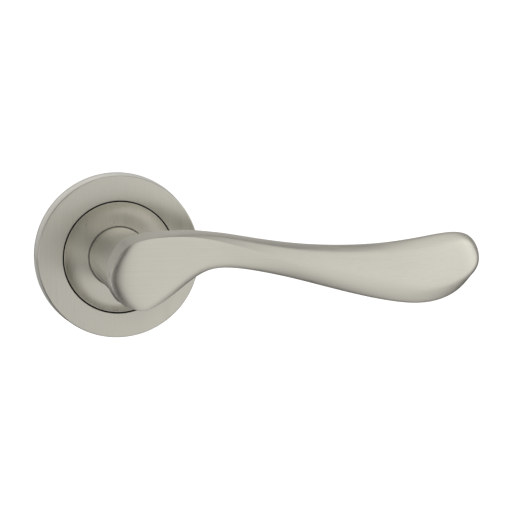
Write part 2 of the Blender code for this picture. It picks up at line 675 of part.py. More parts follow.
def make_ring_clip(number, angle):
    """A bent strip: its foot lies on the plate over a cast pip, and its leg bears on the ring's wall."""
    foot = PLATE_THICKNESS + GAP
    outline = [
        (CLIP_FOOT_RADIUS, foot), (CLIP_RADIUS - CLIP_SHEET, foot), (CLIP_RADIUS - CLIP_SHEET, CLIP_LOW),
        (CLIP_RADIUS, CLIP_LOW), (CLIP_RADIUS, foot + CLIP_SHEET), (CLIP_FOOT_RADIUS, foot + CLIP_SHEET),
    ]
    curve = bpy.data.curves.new(f"ring_clip_{number}", "CURVE")
    curve.dimensions = "2D"
    curve.fill_mode = "BOTH"
    curve.extrude = CLIP_WIDTH / 2
    spline = curve.splines.new("POLY")
    spline.points.add(len(outline) - 1)
    for point, (radius, forward) in zip(spline.points, outline):
        point.co = (radius, -forward, 0, 1)
    spline.use_cyclic_u = True
    clip = curve_mesh(f"ring_clip_{number}", curve, SPRING_STEEL)
    clip.rotation_euler = (0, -angle, 0)
    x, z = PIP_PLACE * cos(angle), PIP_PLACE * sin(angle)
    combine(clip, rod(f"clip_hole_{number}", PIP_RADIUS + GAP, 0, 3 * foot, x, z, sides=12))
    return clip


def on_axis(name, pieces):
    """An empty on a joint's axis, with the pieces that move on that joint as its children."""
    axis = bpy.data.objects.new(name, None)
    parts.objects.link(axis)
    for piece in pieces:
        piece.parent = axis


clear_scene()
parts = new_collection(COLLECTION)
tools = new_collection("cutters")

make_mounting_plate()
make_bearing_bush()
make_return_spring()
make_cassette_cover()
for index, clip_angle in enumerate(clip_angles(), start=1):
    make_ring_clip(index, clip_angle)
for index, fixing_side in enumerate((-1, 1), start=1):
    make_through_bolt(index, fixing_side)
    make_wood_screw(index, fixing_side)

lever_pieces = [make_lever_handle(), make_spindle(), make_grub_screw(), make_circlip(), make_wave_washer()]
lever_pieces.append(make_cassette_rotor())
on_axis("lever_turn_axis", lever_pieces)
on_axis("cover_slide_axis", [make_rose_ring(), make_rose_dish()])
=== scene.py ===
"""Looks of a lever door handle on a round rose: fine meshes, satin-nickel and fixing finishes, studio."""

from math import cos, pi, radians, sin

import bmesh
import bpy
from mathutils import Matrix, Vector


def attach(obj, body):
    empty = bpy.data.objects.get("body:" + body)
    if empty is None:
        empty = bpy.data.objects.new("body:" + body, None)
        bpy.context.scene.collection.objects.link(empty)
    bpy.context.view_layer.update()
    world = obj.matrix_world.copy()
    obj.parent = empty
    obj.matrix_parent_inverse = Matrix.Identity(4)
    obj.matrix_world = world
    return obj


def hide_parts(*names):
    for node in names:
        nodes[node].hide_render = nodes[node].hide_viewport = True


MM = 0.001
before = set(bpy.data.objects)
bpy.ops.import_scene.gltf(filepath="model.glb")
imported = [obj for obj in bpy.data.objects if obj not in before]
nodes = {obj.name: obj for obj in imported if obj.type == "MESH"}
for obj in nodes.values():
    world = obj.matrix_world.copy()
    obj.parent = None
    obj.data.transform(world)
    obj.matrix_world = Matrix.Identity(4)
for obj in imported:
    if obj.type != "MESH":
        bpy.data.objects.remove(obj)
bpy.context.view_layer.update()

# ---- sizes, the same as the CAD's ----

NECK_RADIUS = 9.3 * MM
NECK_SHOULDER = 5.4 * MM
NECK_STRAIGHT = 43.6 * MM
NECK_ROOT = 44.6 * MM
NECK_FLARE = 0.3 * MM
JOURNAL_RADIUS = 7.6 * MM
JOURNAL_END = 0.95 * MM
JOURNAL_FLAT = 6.6 * MM
JOURNAL_FLAT_TOP = 3.35 * MM
GROOVE_RADIUS = 6.9 * MM
GROOVE_LOW = 1.2 * MM
GROOVE_HIGH = 2.0 * MM
SOCKET_WIDTH = 8.3 * MM
SOCKET_DEPTH = 33.0 * MM
GRUB_FORWARD = 15.0 * MM
GRUB_HOLE_RADIUS = 2.75 * MM

ROSE_HOLE_RADIUS = 17.85 * MM
ROSE_FACE_RADIUS = 25.0 * MM
ROSE_FACE_LOW = 6.95 * MM
ROSE_FACE_HIGH = 7.35 * MM
ROSE_WALL_TOP_RADIUS = 25.6 * MM
ROSE_WALL_HEIGHT = 6.3 * MM
ROSE_RADIUS = 26.0 * MM
ROSE_CORNER = (25.50 * MM, 6.93 * MM)
ROSE_CORNER_ROUND = 0.38 * MM
ROSE_LIP_ROUND = 0.12 * MM
ROSE_FOOT_ROUND = 0.15 * MM
ROSE_INNER_RADIUS = 24.75 * MM
ROSE_INNER_HEIGHT = 5.4 * MM
ROSE_UNDER_RADIUS = 24.3 * MM
ROSE_SHEET = 1.0 * MM
DISH_RIM_RADIUS = 17.4 * MM
DISH_RIM_HEIGHT = 7.3 * MM
DISH_RIM_ROUND = 0.15 * MM
DISH_HOLE_RADIUS = 9.65 * MM
DISH_FLOOR = 6.2 * MM
DISH_SHEET = 0.7 * MM
DISH_FLANGE_RADIUS = 19.6 * MM
DISH_FLANGE_TOP = 5.95 * MM
DISH_STEP = (1.2 * MM, 3.0 * MM)  # how far inside the rim the underside climbs from flange to floor

# The lever's cage, in millimetres. A form is a section's outline as (depth, height) fractions of the
# section's box: the ridge, down the upper side, the back and the underside, and up the front again.
PLACES = 10
(RIDGE, UPPER_FRONT, UPPER_BACK, BACK, LOWER_BACK,
 UNDERSIDE, LOWER_FRONT, FRONT_LOW, FRONT, FRONT_HIGH) = range(PLACES)
END_FORM = ((0.93, 1.01), (0.82, 1.01), (0.00, 1.02), (0.00, 0.48), (0.00, -0.02),
            (0.50, 0.00), (0.90, 0.00), (0.91, 0.20), (0.92, 0.50), (0.93, 0.82))
HEEL_FORM = ((0.99, 1.01), (0.87, 1.015), (0.00, 1.03), (0.00, 0.48), (0.00, 0.00),
             (0.50, 0.02), (0.92, 0.00), (1.03, 0.11), (1.04, 0.50), (1.04, 0.91))
WAIST_FORM = ((1.04, 0.49), (0.86, 0.86), (0.25, 1.04), (0.00, 0.62), (0.05, 0.15),
              (0.33, -0.06), (0.68, 0.00), (0.82, 0.10), (0.93, 0.22), (1.00, 0.35))
BLADE_FORM = ((1.02, 0.23), (0.87, 0.80), (0.34, 1.05), (0.00, 0.62), (0.08, 0.18),
              (0.36, -0.02), (0.66, -0.03), (0.79, 0.02), (0.90, 0.09), (0.97, 0.15))
LEVER_FORMS = (END_FORM, HEEL_FORM, WAIST_FORM, BLADE_FORM)
# along the lever, lowest, highest, back, front, form (0 heel's end, 1 heel, 2 waist, 3 blade)
LEVER_SECTIONS = (
    (-7.4, -7.4, 9.6, 45.6, 56.8, 0.00),
    (-5.4, -7.9, 11.0, 45.4, 56.8, 1.00),
    (0.0, -9.8, 12.6, 45.3, 56.8, 1.00),
    (9.5, -3.4, 13.5, 45.3, 56.8, 1.05),
    (18.5, 4.1, 13.9, 45.5, 56.8, 1.30),
    (31.0, 2.3, 12.0, 45.8, 56.6, 1.68),
    (45.0, -0.9, 9.5, 45.6, 55.6, 2.00),
    (60.0, -5.5, 8.5, 44.8, 54.2, 2.35),
    (75.0, -9.4, 8.8, 43.6, 52.4, 2.75),
    (88.0, -11.2, 10.7, 42.6, 50.6, 3.00),
    (98.0, -8.3, 12.1, 42.2, 49.0, 3.00),
    (102.9, -2.7, 9.5, 42.6, 48.0, 3.00),
)
# how far the middle of an end's section lies beyond its corners, and its front beyond its back
END_SHIFTS = {0: (-4.8, 0.9), 1: (-4.2, 0.8), len(LEVER_SECTIONS) - 1: (3.2, 0.0)}
HEEL_CROWN = -1.2
TIP_CROWN = 1.0
# how crisp each run between sections is, from the heel to the tip (0 smooth, 1 sharp)
RIDGE_CREASE = (0.75, 0.75, 0.75, 0.75, 0.60, 0.45, 0.30, 0.20, 0.20, 0.20, 0.20)
UPPER_CREASE = (0.20, 0.20, 0.20, 0.30, 0.40, 0.40, 0.40, 0.40, 0.40, 0.40, 0.40)
HEEL_CREASE = (0.85, 0.80, 0.75, 0.60, 0.40)
HEEL_BACK_CREASE = (0.45, 0.45, 0.45, 0.35, 0.20)
CAGE_OVER_CIRCLE = (4 + 2 * cos(2 * pi / PLACES)) / 6
LEVER_LEVELS = 4
TURN_STEPS = 256

# ---- camera ----

VIEW_LEFT = radians(12.58)
VIEW_UP = radians(8.652)
VIEW_DISTANCE = 0.75
VIEW_TARGET = Vector((0.03919, -0.030, 0.002))
VIEW_LENS = 170.7


def make_camera():
    data = bpy.data.cameras.new("camera")
    data.lens = VIEW_LENS
    data.sensor_width = 36.0
    camera = bpy.data.objects.new("camera", data)
    back = Vector((-sin(VIEW_LEFT) * cos(VIEW_UP), -cos(VIEW_LEFT) * cos(VIEW_UP), sin(VIEW_UP)))
    camera.location = VIEW_TARGET + back * VIEW_DISTANCE
    camera.rotation_euler = back.to_track_quat("Z", "Y").to_euler()
    bpy.context.scene.collection.objects.link(camera)
    bpy.context.scene.camera = camera


# ---- node helpers ----


class Nodes:
    """Adds and links shader nodes with one short call each."""

    def __init__(self, tree):
        self.tree = tree

    def add(self, kind, settings=(), **inputs):
        node = self.tree.nodes.new(kind)
        for name, value in dict(settings).items():
            setattr(node, name, value)
        for name, value in inputs.items():
            self.put(node.inputs[name.replace("_", " ")], value)
        return node

    def put(self, socket, value):
        if isinstance(value, bpy.types.NodeSocket):
            self.tree.links.new(value, socket)
        else:
            socket.default_value = value

    def math(self, operation, first, second=0.0):
        node = self.tree.nodes.new("ShaderNodeMath")
        node.operation = operation
        self.put(node.inputs[0], first)
        self.put(node.inputs[1], second)
        return node.outputs[0]

    def scaled(self, vector, scale):
        node = self.tree.nodes.new("ShaderNodeMapping")
        self.put(node.inputs["Vector"], vector)
        node.inputs["Scale"].default_value = scale
        return node.outputs["Vector"]

    def noise(self, vector, scale, detail=2.0, roughness=0.5):
        node = self.add("ShaderNodeTexNoise", Vector=vector, Scale=scale, Detail=detail, Roughness=roughness)
        return node.outputs["Fac"]

    def between(self, value, low, high, from_low=0.3, from_high=0.7):
        node = self.add("ShaderNodeMapRange", Value=value)
        ends = {"From Min": from_low, "From Max": from_high, "To Min": low, "To Max": high}
        for name, number in ends.items():
            node.inputs[name].default_value = number
        return node.outputs["Result"]

    def blend(self, factor, first, second):
        node = self.tree.nodes.new("ShaderNodeMix")
        node.data_type = "RGBA"
        self.put(node.inputs["Factor"], factor)
        self.put(node.inputs["A"], first)
        self.put(node.inputs["B"], second)
        return node.outputs["Result"]


def new_material(name, metallic, roughness):
    material = bpy.data.materials.new(name)
    material.use_nodes = True
    tree = material.node_tree
    shader = tree.nodes["Principled BSDF"]
    shader.inputs["Metallic"].default_value = metallic
    shader.inputs["Roughness"].default_value = roughness
    place = tree.nodes.new("ShaderNodeTexCoord").outputs["Object"]
    return material, Nodes(tree), shader, place


def shade(colour, factor):
    return tuple(min(1.0, channel * factor) for channel in colour) + (1.0,)


# ---- finishes ----

NICKEL = (0.70, 0.68, 0.605)


def satin_nickel(name, grain, tangent_axis=None, roughness=0.36, tint=NICKEL):
    """Brushed nickel plate. Grain is the streaks' fineness along X, Y and Z: small along the brushing."""
    material, n, shader, place = new_material(name, 1.0, roughness)
    fine = n.noise(n.scaled(place, grain), 1.0, detail=3.0, roughness=0.7)
    broad = n.noise(n.scaled(place, [g * 0.22 for g in grain]), 1.0, detail=2.0)
    cloud = n.noise(place, 60.0, detail=2.0)
    streak = n.math("ADD", n.math("MULTIPLY", fine, 0.65), n.math("MULTIPLY", broad, 0.35))
    tone = n.math("ADD", n.math("MULTIPLY", streak, 0.8), n.math("MULTIPLY", cloud, 0.2))
    colour = n.blend(n.between(tone, 0.0, 1.0, 0.35, 0.65), shade(tint, 0.945), shade(tint, 1.045))
    n.put(shader.inputs["Base Color"], colour)
    n.put(shader.inputs["Roughness"], n.between(streak, roughness - 0.05, roughness + 0.06, 0.35, 0.65))
    bump = n.add("ShaderNodeBump", Strength=0.25, Distance=0.02 * MM, Height=streak)
    n.put(shader.inputs["Normal"], bump.outputs["Normal"])
    shader.inputs["Anisotropic"].default_value = 0.85
    if tangent_axis == "X":
        kind = {"vector_type": "VECTOR", "convert_from": "OBJECT"}
        along = n.add("ShaderNodeVectorTransform", kind, Vector=(1, 0, 0))
        normal = n.add("ShaderNodeNewGeometry").outputs["Normal"]
        across = n.tree.nodes.new("ShaderNodeVectorMath")
        across.operation = "CROSS_PRODUCT"
        n.put(across.inputs[0], normal)
        n.put(across.inputs[1], along.outputs["Vector"])
        n.put(shader.inputs["Tangent"], across.outputs["Vector"])
    else:
        across = n.add("ShaderNodeCombineXYZ", X=1.0)
        n.put(shader.inputs["Tangent"], across.outputs["Vector"])
    return material


def plain_metal(name, tint, roughness, grain_scale, grain_depth, spread=0.06):
    """Cast, plated or sprung metal, and the near-black painted shade in the rose's gap: soft colour clouds
    over a fine grain.
    """
    material, n, shader, place = new_material(name, 1.0, roughness)
    grain = n.noise(place, grain_scale, detail=4.0, roughness=0.6)
    cloud = n.noise(place, 220.0, detail=3.0)
    colour = n.blend(n.between(cloud, 0.0, 1.0), shade(tint, 0.90), shade(tint, 1.06))
    n.put(shader.inputs["Base Color"], colour)
    n.put(shader.inputs["Roughness"], n.between(grain, roughness - spread, roughness + spread))
    bump = n.add("ShaderNodeBump", Strength=0.5, Distance=grain_depth, Height=grain)
    n.put(shader.inputs["Normal"], bump.outputs["Normal"])
    return material


def nylon():
    material, n, shader, place = new_material("moulded_nylon", 0.0, 0.45)
    cloud = n.noise(place, 300.0, detail=3.0)
    tint = (0.80, 0.79, 0.74)
    colour = n.blend(n.between(cloud, 0.0, 1.0), shade(tint, 0.94), shade(tint, 1.02))
    n.put(shader.inputs["Base Color"], colour)
    bump = n.add("ShaderNodeBump", Strength=0.3, Distance=0.01 * MM, Height=n.noise(place, 2500.0))
    n.put(shader.inputs["Normal"], bump.outputs["Normal"])
    shader.inputs["Subsurface Weight"].default_value = 0.05
    return material


# ---- mesh helpers ----


def new_object(name, mesh, material=None):
    obj = bpy.data.objects.new(name, mesh)
    bpy.context.scene.collection.objects.link(obj)
    if material:
        mesh.materials.clear()
        mesh.materials.append(material)
    return obj


def mesh_from(bm, name):
    mesh = bpy.data.meshes.new(name)
    bm.to_mesh(mesh)
    bm.free()
    return mesh


def settle(obj, angle=35):
    """Applies the modifiers and the placing, and shades the result smooth up to an angle."""
    bpy.context.view_layer.update()
    depsgraph = bpy.context.evaluated_depsgraph_get()
    mesh = bpy.data.meshes.new_from_object(obj.evaluated_get(depsgraph))
    mesh.transform(obj.matrix_world)
    obj.modifiers.clear()
    obj.location = (0, 0, 0)
    obj.rotation_euler = (0, 0, 0)
    mesh.name = obj.name
    obj.data = mesh
    mesh.shade_smooth()
    mesh.set_sharp_from_angle(angle=radians(angle))
    return obj


def face_forward(obj, x=0.0, forward=0.0, z=0.0):
    obj.location = (x, -forward, z)
    obj.rotation_euler = (radians(90), 0, 0)
    return obj


def turned(name, profile, steps, closed=True, material=None):
    """A shape turned about the forward axis, from a profile of (radius, forward) points."""
    mesh = bpy.data.meshes.new(name)
    edges = [(i, i + 1) for i in range(len(profile) - 1)]
    if closed:
        edges.append((len(profile) - 1, 0))
    mesh.from_pydata([(radius, 0, forward) for radius, forward in profile], edges, [])
    obj = new_object(name, mesh, material)
    screw = obj.modifiers.new("turn", "SCREW")
    screw.steps = screw.render_steps = steps
    screw.use_merge_vertices = True
    screw.merge_threshold = 1e-6
    return face_forward(obj)


def cylinder(name, radius, length, sides):
    bm = bmesh.new()
    bmesh.ops.create_cone(bm, cap_ends=True, segments=sides, radius1=radius, radius2=radius, depth=length)
    return new_object(name, mesh_from(bm, name))


def block(name, size, centre):
    bm = bmesh.new()
    bmesh.ops.create_cube(bm, size=1.0)
    bmesh.ops.scale(bm, vec=size, verts=bm.verts)
    bmesh.ops.translate(bm, vec=(centre[0], -centre[1], centre[2]), verts=bm.verts)
    return new_object(name, mesh_from(bm, name))


def combine(obj, other, operation="DIFFERENCE"):
    boolean = obj.modifiers.new(other.name, "BOOLEAN")
    boolean.operation = operation
    boolean.object = other
    boolean.solver = "EXACT"
    cutters.append(other)


cutters = []


def remove_cutters():
    for obj in cutters:
        bpy.data.objects.remove(obj)
    cutters.clear()


def paint_gap_shade(obj, finish, inner, outer, top):
    """Gives the faces between two radii and below a forward distance a second material, the near-black
    painted shade of the gap between rose ring and dish.
    """
    obj.data.materials.append(finish)
    for face in obj.data.polygons:
        radius = Vector((face.center.x, face.center.z)).length
        if inner < radius < outer and -face.center.y < top:
            face.material_index = 1


def fillet(corner, before, after, radius, steps):
    """A profile's corner rounded off: points on a circle that touches both of its sides."""
    corner, before, after = (Vector(p) for p in (corner, before, after))
    first = (before - corner).normalized()
    second = (after - corner).normalized()
    half = first.angle(second) / 2
    centre = corner + (first + second).normalized() * (radius / sin(half))
    start = corner + first * (radius * cos(half) / sin(half)) - centre
    end = corner + second * (radius * cos(half) / sin(half)) - centre
    swing = start.angle_signed(end)
    points = []
    for i in range(steps + 1):
        angle = -swing * i / steps
        across = start.x * cos(angle) - start.y * sin(angle)
        upward = start.x * sin(angle) + start.y * cos(angle)
        points.append(tuple(centre + Vector((across, upward))))
    return points


# ---- lever ----


def section_outline(form):
    step = min(int(form), len(LEVER_FORMS) - 2)
    share = form - step
    pairs = zip(LEVER_FORMS[step], LEVER_FORMS[step + 1])
    return [(a[0] + (b[0] - a[0]) * share, a[1] + (b[1] - a[1]) * share) for a, b in pairs]


def add_section(bm, section, roundness=0.0, lean=0.0):
    along, low, high, back, front, form = section
    ring = []
    for depth, height in section_outline(form):
        x = along + roundness * max(0.0, 1 - (2 * height - 1) ** 2) + lean * depth
        forward = back + depth * (front - back)
        ring.append(bm.verts.new((x * MM, -forward * MM, (low + height * (high - low)) * MM)))
    return ring


def close_end(bm, ring, crown):
    middle = (ring[FRONT].co + ring[BACK].co) / 2
    middle.x += crown * MM
    centre = bm.verts.new(middle)
    for corner in range(0, PLACES, 2):
        bm.faces.new((ring[corner - 1], ring[corner], ring[(corner + 1) % PLACES], centre))


def add_neck(bm, rings):
    around = [rings[0][BACK]] + [ring[UPPER_BACK] for ring in rings[:4]]
    around += [rings[3][BACK]] + [ring[LOWER_BACK] for ring in rings[3::-1]]
    angles = [pi - 2 * pi * i / PLACES for i in range(PLACES)]
    previous = around
    cage_radius = NECK_RADIUS / CAGE_OVER_CIRCLE
    for forward, radius in (
        (NECK_ROOT, cage_radius + NECK_FLARE), (NECK_STRAIGHT, cage_radius), (NECK_SHOULDER, cage_radius)
    ):
        ring = [bm.verts.new((radius * cos(angle), -forward, radius * sin(angle))) for angle in angles]
        for i in range(PLACES):
            j = (i + 1) % PLACES
            bm.faces.new((previous[i], previous[j], ring[j], ring[i]))
        previous = ring
    bm.faces.new(previous)
    return previous


def crease_run(bm, layer, rings, place, amounts):
    for first, second, amount in zip(rings, rings[1:], amounts):
        bm.edges.get((first[place], second[place]))[layer] = amount


def lever_cage():
    bm = bmesh.new()
    crease = bm.edges.layers.float.new("crease_edge")
    rings = [
        add_section(bm, section, *END_SHIFTS.get(i, (0.0, 0.0))) for i, section in enumerate(LEVER_SECTIONS)
    ]
    for number, (first, second) in enumerate(zip(rings, rings[1:])):
        for place in range(PLACES):
            if number < 3 and place in (UPPER_BACK, BACK):
                continue  # left open for the neck
            after = (place + 1) % PLACES
            bm.faces.new((first[place], second[place], second[after], first[after]))
    close_end(bm, rings[0], HEEL_CROWN)
    close_end(bm, rings[-1], TIP_CROWN)
    shoulder = add_neck(bm, rings)
    crease_run(bm, crease, rings, RIDGE, RIDGE_CREASE)
    crease_run(bm, crease, rings, UPPER_FRONT, UPPER_CREASE)
    crease_run(bm, crease, rings, LOWER_FRONT, HEEL_CREASE)
    crease_run(bm, crease, rings, UPPER_BACK, HEEL_BACK_CREASE)
    crease_run(bm, crease, rings, LOWER_BACK, HEEL_BACK_CREASE)
    end = rings[0]
    for first, second in (
        (LOWER_FRONT, FRONT_LOW), (FRONT_LOW, FRONT), (FRONT, FRONT_HIGH), (FRONT_HIGH, RIDGE)
    ):
        bm.edges.get((end[first], end[second]))[crease] = HEEL_CREASE[0]
    for first, second in ((UPPER_BACK, BACK), (BACK, LOWER_BACK)):
        bm.edges.get((end[first], end[second]))[crease] = HEEL_BACK_CREASE[0]
    for first, second in zip(shoulder, shoulder[1:] + shoulder[:1]):
        bm.edges.get((first, second))[crease] = 1.0
    bmesh.ops.recalc_face_normals(bm, faces=bm.faces)
    return mesh_from(bm, "lever")


def make_lever():
    finish = satin_nickel("satin_nickel_lever", (45.0, 2600.0, 2600.0), "X", 0.38)
    lever = new_object("satin_lever", lever_cage(), finish)
    smooth = lever.modifiers.new("smooth", "SUBSURF")
    smooth.levels = smooth.render_levels = LEVER_LEVELS
    edge = 0.25 * MM
    journal = turned(
        "journal",
        [
            (0, NECK_SHOULDER + 3 * MM), (JOURNAL_RADIUS, NECK_SHOULDER + 3 * MM),
            (JOURNAL_RADIUS, GROOVE_HIGH), (GROOVE_RADIUS, GROOVE_HIGH),
            (GROOVE_RADIUS, GROOVE_LOW), (JOURNAL_RADIUS, GROOVE_LOW),
            (JOURNAL_RADIUS, JOURNAL_END + edge), (JOURNAL_RADIUS - edge, JOURNAL_END), (0, JOURNAL_END),
        ],
        steps=96,
        closed=False,
    )
    combine(lever, journal, "UNION")
    for side in (1, -1):
        combine(lever, block(
            f"journal_flat_{side}", (4 * JOURNAL_RADIUS, JOURNAL_FLAT_TOP, JOURNAL_RADIUS),
            (0, JOURNAL_FLAT_TOP / 2, side * (JOURNAL_FLAT + JOURNAL_RADIUS / 2)),
        ))
    combine(lever, block("socket", (SOCKET_WIDTH, 2 * SOCKET_DEPTH, SOCKET_WIDTH), (0, 0, 0)))
    hole = cylinder("grub_hole", GRUB_HOLE_RADIUS, 2 * NECK_RADIUS, 48)
    hole.location = (0, -GRUB_FORWARD, -NECK_RADIUS)
    combine(lever, hole)
    settle(lever, 30)
    remove_cutters()
    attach(lever, "lever")
    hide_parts("lever_handle")


# ---- rose ----


def rose_face(radius):
    share = (radius - ROSE_HOLE_RADIUS) / (ROSE_FACE_RADIUS - ROSE_HOLE_RADIUS)
    return ROSE_FACE_HIGH - (ROSE_FACE_HIGH - ROSE_FACE_LOW) * share**2


def dish_face(radius):
    share = (radius - DISH_HOLE_RADIUS) / (DISH_RIM_RADIUS - DISH_HOLE_RADIUS)
    return DISH_FLOOR + (DISH_RIM_HEIGHT - DISH_FLOOR) * share**4


def spaced(start, end, count):
    return [start + (end - start) * i / (count - 1) for i in range(count)]


def make_rose_ring(gap_shade):
    lip = ROSE_LIP_ROUND
    face = [(r, rose_face(r)) for r in spaced(ROSE_HOLE_RADIUS + 2 * lip, ROSE_FACE_RADIUS - 0.3 * MM, 16)]
    top = (ROSE_HOLE_RADIUS, rose_face(ROSE_HOLE_RADIUS))
    low_lip = (ROSE_HOLE_RADIUS, ROSE_FACE_HIGH - ROSE_SHEET)
    wall_top = (ROSE_WALL_TOP_RADIUS, ROSE_WALL_HEIGHT)
    wall_foot = (ROSE_RADIUS, 0.0)
    profile = fillet(top, low_lip, face[0], lip, 5) + face
    profile += fillet(ROSE_CORNER, face[-1], wall_top, ROSE_CORNER_ROUND, 7)
    profile += [wall_top]
    profile += fillet(wall_foot, wall_top, (ROSE_INNER_RADIUS, 0.0), ROSE_FOOT_ROUND, 3)
    profile += [(ROSE_INNER_RADIUS, 0.0), (ROSE_INNER_RADIUS, ROSE_INNER_HEIGHT)]
    profile += [(r, rose_face(r) - ROSE_SHEET) for r in spaced(ROSE_UNDER_RADIUS, ROSE_HOLE_RADIUS, 7)]
    finish = satin_nickel("satin_nickel_ring", (1500.0, 1500.0, 60.0), None, 0.34)
    ring = turned("satin_rose_ring", profile, TURN_STEPS, material=finish)
    settle(ring)
    # painted shade: the hole's inner wall and the lip's underside are coloured near-black
    paint_gap_shade(ring, gap_shade, 0, ROSE_HOLE_RADIUS + 0.5 * lip, ROSE_FACE_HIGH - 0.7 * lip)
    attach(ring, "cover")
    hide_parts("rose_ring")


def make_rose_dish(gap_shade):
    edge = DISH_RIM_ROUND
    face = [(r, dish_face(r)) for r in spaced(DISH_HOLE_RADIUS + 0.12 * MM, DISH_RIM_RADIUS - 2.3 * edge, 40)]
    rim_top = (DISH_RIM_RADIUS, DISH_RIM_HEIGHT + 0.05 * MM)
    flange_root = (DISH_RIM_RADIUS, DISH_FLANGE_TOP)
    profile = face + fillet(rim_top, face[-1], flange_root, edge, 8)
    profile += [
        flange_root,
        (DISH_FLANGE_RADIUS, DISH_FLANGE_TOP),
        (DISH_FLANGE_RADIUS, DISH_FLANGE_TOP - DISH_SHEET),
        (DISH_RIM_RADIUS - DISH_STEP[0], DISH_FLANGE_TOP - DISH_SHEET),
        (DISH_RIM_RADIUS - DISH_STEP[1], DISH_FLOOR - DISH_SHEET),
        (DISH_HOLE_RADIUS, DISH_FLOOR - DISH_SHEET),
        (DISH_HOLE_RADIUS, DISH_FLOOR - 0.1 * MM),
    ]
    finish = satin_nickel("satin_nickel_dish", (1500.0, 1500.0, 45.0), None, 0.32)
    dish = turned("satin_rose_dish", profile, TURN_STEPS, material=finish)
    settle(dish)
    # painted shade: the rim's outer wall and the whole flange are coloured near-black, the flange's underside
    # too
    paint_gap_shade(dish, gap_shade, DISH_RIM_RADIUS - 0.01 * MM, ROSE_RADIUS, DISH_RIM_HEIGHT - edge)
    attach(dish, "cover")
    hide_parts("rose_dish")


# ---- threaded fixings ----

FIXING_RADIUS = 19.0 * MM
BOLT_SEAT = 2.7 * MM
BOLT_TOP = 4.9 * MM
BOLT_HEAD_RADIUS = 3.4 * MM
BOLT_RADIUS = 1.95 * MM
BOLT_END = -22.3 * MM
BOLT_PITCH = 0.7 * MM
BOLT_THREAD_DEPTH = 0.38 * MM
WOOD_TOP = 2.3 * MM
WOOD_HEAD_RADIUS = 3.4 * MM
WOOD_RADIUS = 1.6 * MM
WOOD_END = -15.7 * MM
WOOD_PITCH = 1.5 * MM
WOOD_THREAD_DEPTH = 0.5 * MM
RECESS_LENGTH = 3.5 * MM
RECESS_WIDTH = 0.8 * MM
RECESS_HEIGHT = 2.4 * MM
SIDES = 36
STEPS_PER_THREAD = 6


def threaded(name, outline, thread_top, pitch, depth, x, z, material):
    """A screw from its head to its tip. Below the thread's top its surface dips between helical ridges."""
    rows = []
    for (radius, forward), (next_radius, next_forward) in zip(outline, outline[1:]):
        count = 1
        if forward <= thread_top and forward > next_forward:
            count = max(1, round((forward - next_forward) / pitch * STEPS_PER_THREAD))
        for i in range(count):
            share = i / count
            rows.append((radius + (next_radius - radius) * share, forward + (next_forward - forward) * share))
    rows.append(outline[-1])
    bm = bmesh.new()
    previous = None
    for radius, forward in rows:
        ring = []
        for i in range(SIDES):
            dip = 0.0
            if forward < thread_top:
                phase = (forward / pitch + i / SIDES) % 1.0
                dip = min(depth, radius / 2) * abs(2 * phase - 1)
            angle = 2 * pi * i / SIDES
            out = radius - dip
            ring.append(bm.verts.new((x + out * cos(angle), -forward, z + out * sin(angle))))
        if previous:
            for i in range(SIDES):
                j = (i + 1) % SIDES
                bm.faces.new((previous[i], previous[j], ring[j], ring[i]))
        else:
            bm.faces.new(ring)
        previous = ring
    bm.faces.new(previous)
    bmesh.ops.recalc_face_normals(bm, faces=bm.faces)
    return new_object(name, mesh_from(bm, name), material)


def cut_cross(screw, top, x, z):
    """A cross recess: two plain slots that cross in the head's middle."""
    arms = ((RECESS_LENGTH, RECESS_WIDTH), (RECESS_WIDTH, RECESS_LENGTH))
    for number, (width, height) in enumerate(arms):
        arm = block(f"{screw.name}_recess_{number}", (width, RECESS_HEIGHT, height), (x, top, z))
        combine(screw, arm)


def finish_screw(screw, node):
    settle(screw, 40)
    remove_cutters()
    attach(screw, "base")
    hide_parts(node)


def make_bolt(side, material):
    number = 1 if side < 0 else 2
    edge = 0.9 * MM
    outline = [
        (BOLT_HEAD_RADIUS - edge, BOLT_TOP), (BOLT_HEAD_RADIUS - 0.45 * edge, BOLT_TOP - 0.15 * edge),
        (BOLT_HEAD_RADIUS - 0.1 * edge, BOLT_TOP - 0.55 * edge), (BOLT_HEAD_RADIUS, BOLT_TOP - edge),
        (BOLT_HEAD_RADIUS, BOLT_SEAT), (BOLT_RADIUS, BOLT_SEAT), (BOLT_RADIUS, BOLT_SEAT - 1.5 * MM),
        (BOLT_RADIUS, BOLT_END + 0.5 * MM), (BOLT_RADIUS - 0.5 * MM, BOLT_END),
    ]
    x = side * FIXING_RADIUS
    name = f"threaded_bolt_{number}"
    thread_top = BOLT_SEAT - 1.5 * MM
    bolt = threaded(name, outline, thread_top, BOLT_PITCH, BOLT_THREAD_DEPTH, x, 0, material)
    cut_cross(bolt, BOLT_TOP, x, 0)
    finish_screw(bolt, f"through_bolt_{number}")


def make_wood_screw(side, material):
    number = 1 if side < 0 else 2
    z = side * FIXING_RADIUS
    neck = WOOD_TOP - (WOOD_HEAD_RADIUS - WOOD_RADIUS)
    outline = [
        (WOOD_HEAD_RADIUS, WOOD_TOP), (WOOD_HEAD_RADIUS, WOOD_TOP - 0.1 * MM), (WOOD_RADIUS, neck),
        (WOOD_RADIUS, neck - 1.0 * MM), (WOOD_RADIUS, WOOD_END + 4.0 * MM), (0.12 * MM, WOOD_END),
    ]
    name = f"threaded_wood_screw_{number}"
    thread_top = neck - 1.0 * MM
    screw = threaded(name, outline, thread_top, WOOD_PITCH, WOOD_THREAD_DEPTH, 0, z, material)
    cut_cross(screw, WOOD_TOP, 0, z)
    finish_screw(screw, f"wood_screw_{number}")


# ---- carried-over CAD nodes ----


